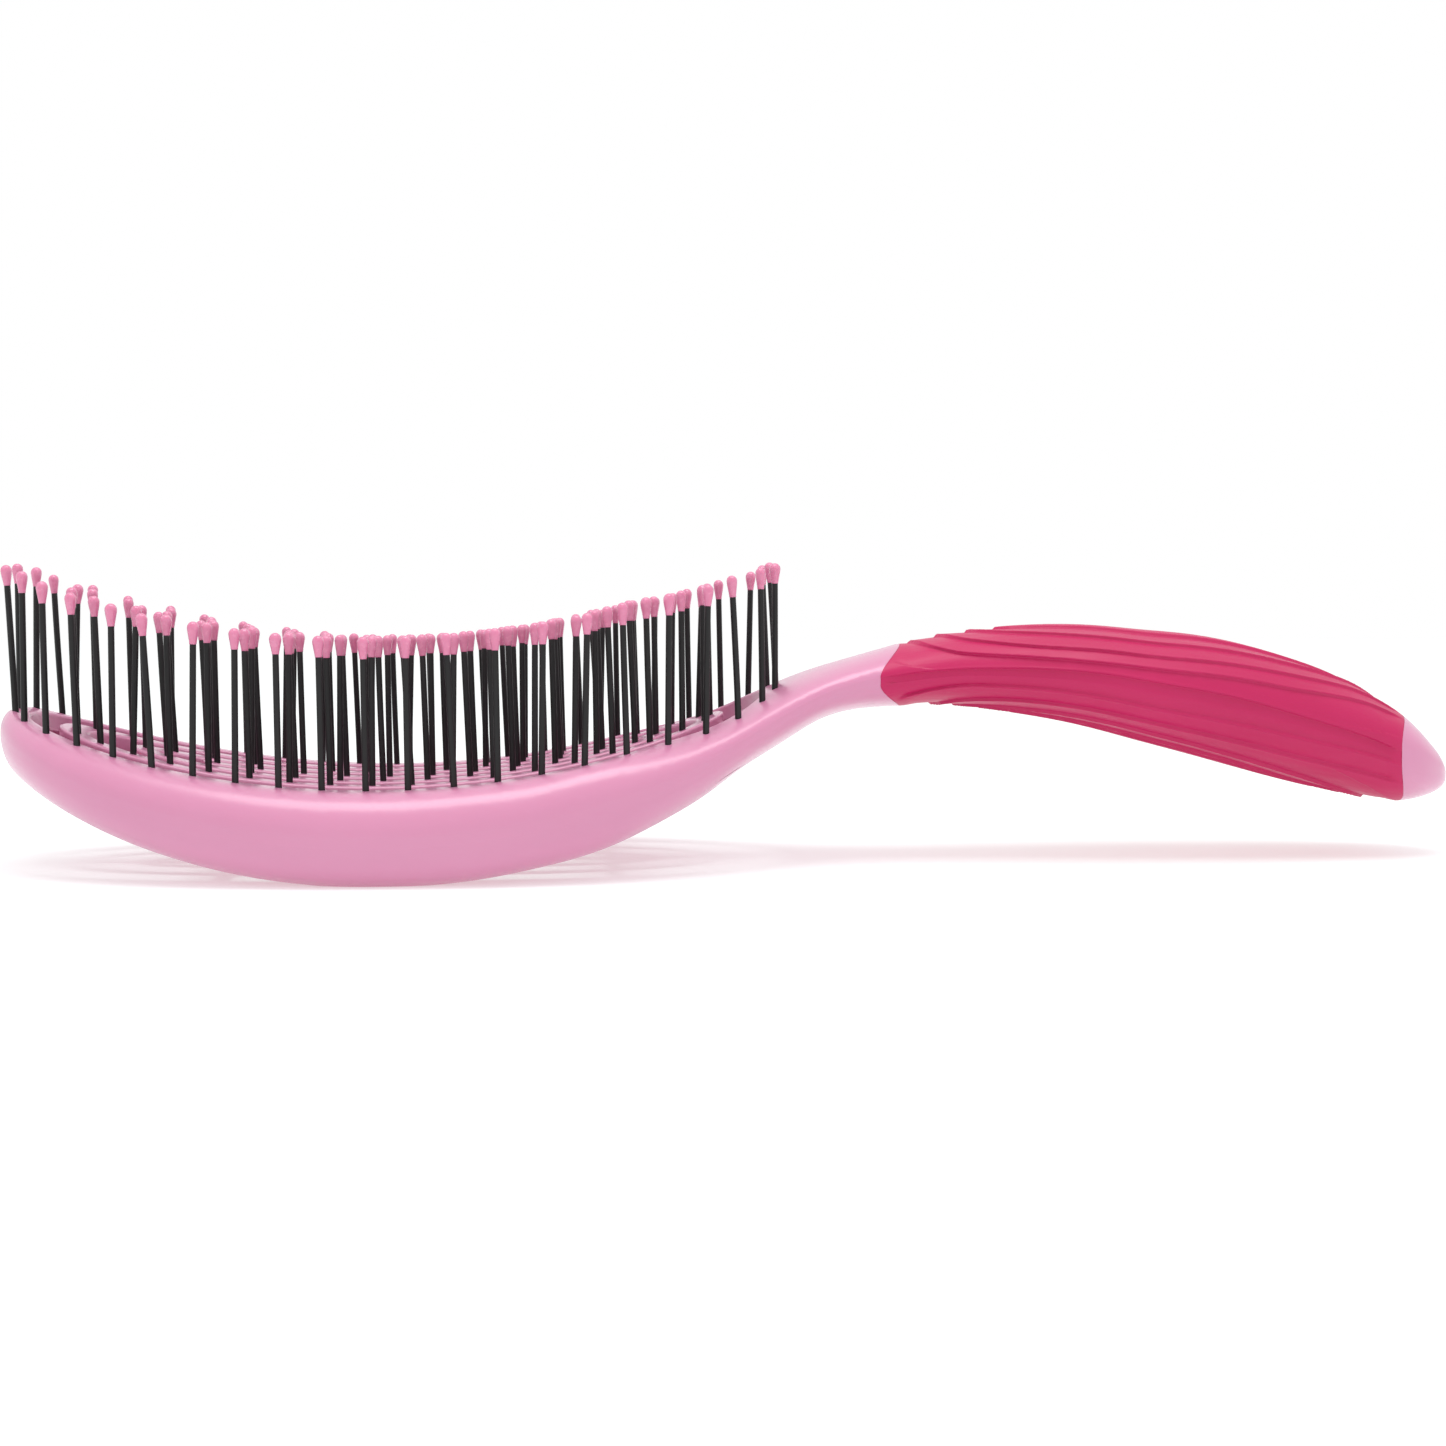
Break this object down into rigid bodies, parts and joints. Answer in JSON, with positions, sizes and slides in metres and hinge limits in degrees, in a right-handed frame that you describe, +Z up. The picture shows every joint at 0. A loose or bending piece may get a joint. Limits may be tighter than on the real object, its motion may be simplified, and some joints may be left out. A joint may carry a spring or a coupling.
{
  "type": "curved vent hairbrush",
  "caption": "Curved detangling hairbrush with a slotted, vented head, rows of flexible ball-tipped pins and a ribbed soft grip.",
  "frame": {"origin": "below the middle of the brush's length and width, on the surface that it lies on", "axes": "+X along the brush from the head's free end to the butt of the handle, +Z up out of the pins, Y across"},
  "size_m": [0.2398, 0.076, 0.0493],
  "materials": {
    "shell": "satin moulded pink plastic",
    "grip": "ribbed raspberry soft rubber",
    "pins": "satin black nylon",
    "tips": "glossy pink resin",
    "retainer": "plain pink plastic"
  },
  "bodies": {
    "root": {"head_frame": "shell", "vent_grille": "shell", "back_cover": "shell", "pin_retainer_outer": "retainer", "pin_retainer_middle": "retainer", "pin_retainer_inner": "retainer", "pins_outer_left": "pins", "pins_outer_right": "pins", "pins_middle_left": "pins", "pins_middle_right": "pins", "pins_inner_left": "pins", "pins_inner_right": "pins", "pins_centre": "pins", "pin_tips_outer_left": "tips", "pin_tips_outer_right": "tips", "pin_tips_middle_left": "tips", "pin_tips_middle_right": "tips", "pin_tips_inner_left": "tips", "pin_tips_inner_right": "tips", "pin_tips_centre": "tips", "grip_sleeve": "grip", "butt_cap": "shell"}
  },
  "joints": []
}
